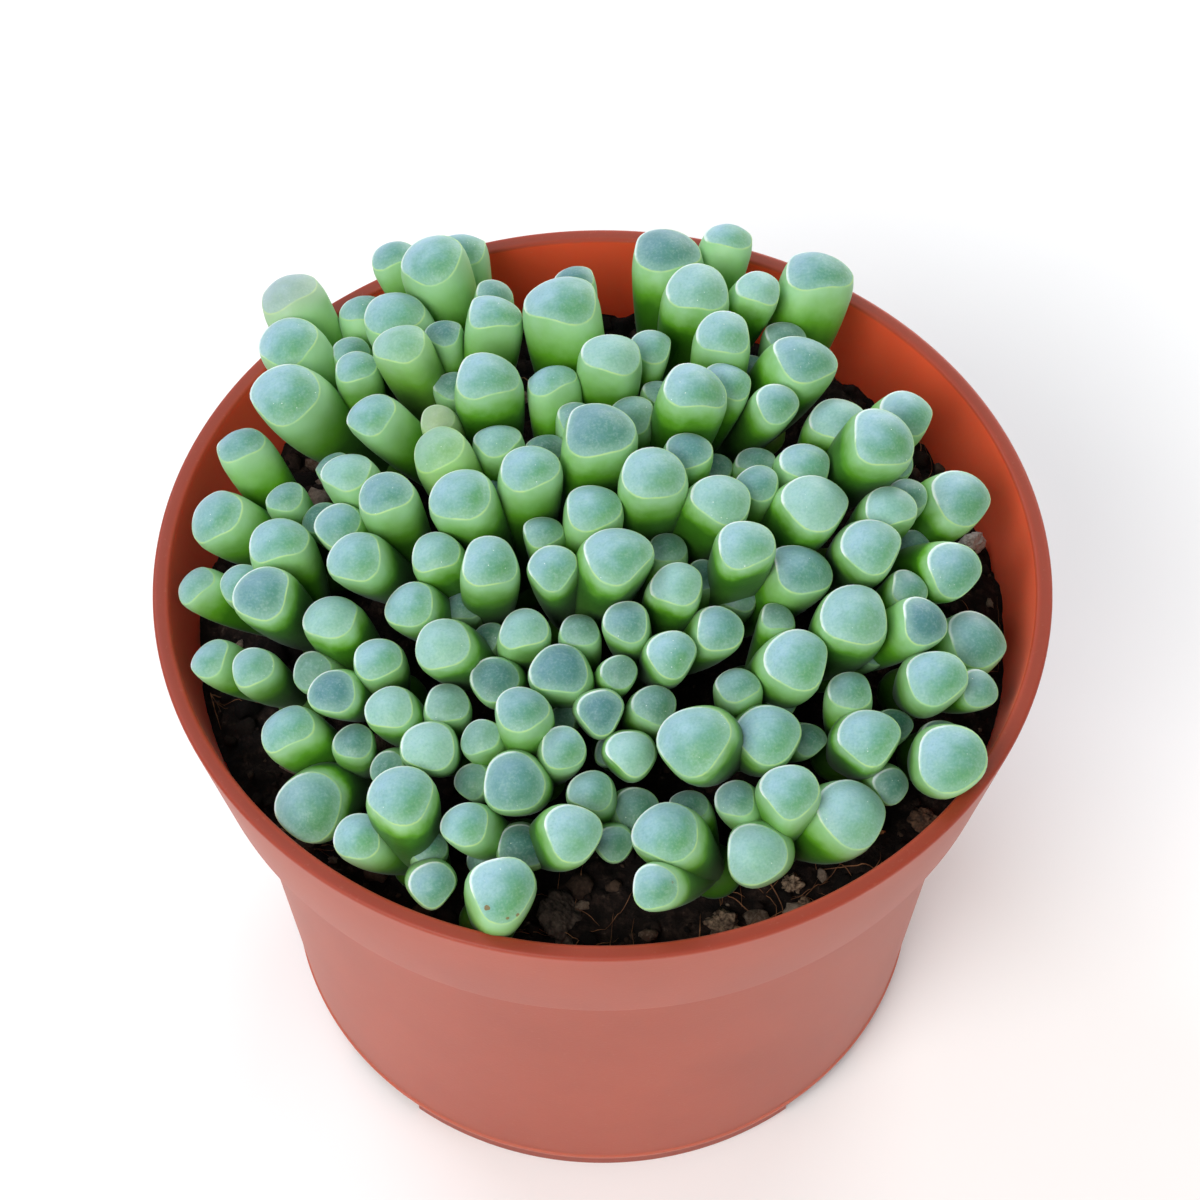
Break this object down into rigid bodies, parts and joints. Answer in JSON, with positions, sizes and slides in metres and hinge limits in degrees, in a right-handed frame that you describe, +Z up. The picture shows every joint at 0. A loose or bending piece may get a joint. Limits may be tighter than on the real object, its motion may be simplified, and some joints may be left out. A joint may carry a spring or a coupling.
{
  "type": "potted baby toes",
  "caption": "Living-window succulent: crowded heads of club-shaped leaves with domed translucent tops, growing in soil in a round collared plastic pot",
  "frame": {"origin": "on the table under the middle of the pot", "axes": "+Z up, -Y the front of the plant as it is usually seen, +X to its right"},
  "size_m": [0.105, 0.105, 0.0933],
  "materials": {
    "pot": "thin moulded plastic, terracotta red, satin",
    "soil": "dark crumbly peat mix with root fibres",
    "leaf": "waxy green skin with a bloom, and a pale blue-green window on top",
    "stone": "pale rough pumice grit",
    "crumb": "dark brown crumb of soil or bark"
  },
  "bodies": {
    "root": {"bark_crumb": "crumb", "head_back_1": "leaf", "head_back_2": "leaf", "head_back_3": "leaf", "head_back_left_1": "leaf", "head_back_left_2": "leaf", "head_back_left_3": "leaf", "head_back_left_4": "leaf", "head_back_right_1": "leaf", "head_back_right_2": "leaf", "head_back_right_3": "leaf", "head_back_right_4": "leaf", "head_front_1": "leaf", "head_front_10": "leaf", "head_front_11": "leaf", "head_front_12": "leaf", "head_front_2": "leaf", "head_front_3": "leaf", "head_front_4": "leaf", "head_front_5": "leaf", "head_front_6": "leaf", "head_front_7": "leaf", "head_front_8": "leaf", "head_front_9": "leaf", "head_left_1": "leaf", "head_left_2": "leaf", "head_left_3": "leaf", "head_left_4": "leaf", "head_left_5": "leaf", "head_left_6": "leaf", "head_middle_1": "leaf", "head_middle_2": "leaf", "head_middle_3": "leaf", "head_middle_4": "leaf", "head_middle_5": "leaf", "head_middle_6": "leaf", "head_middle_7": "leaf", "head_right_1": "leaf", "head_right_2": "leaf", "head_right_3": "leaf", "head_right_4": "leaf", "head_right_5": "leaf", "head_right_6": "leaf", "pale_grit_1": "stone", "pale_grit_2": "stone", "pale_grit_3": "stone", "pot": "pot", "pumice_stone": "stone", "soil": "soil", "soil_lump": "crumb"}
  },
  "joints": []
}
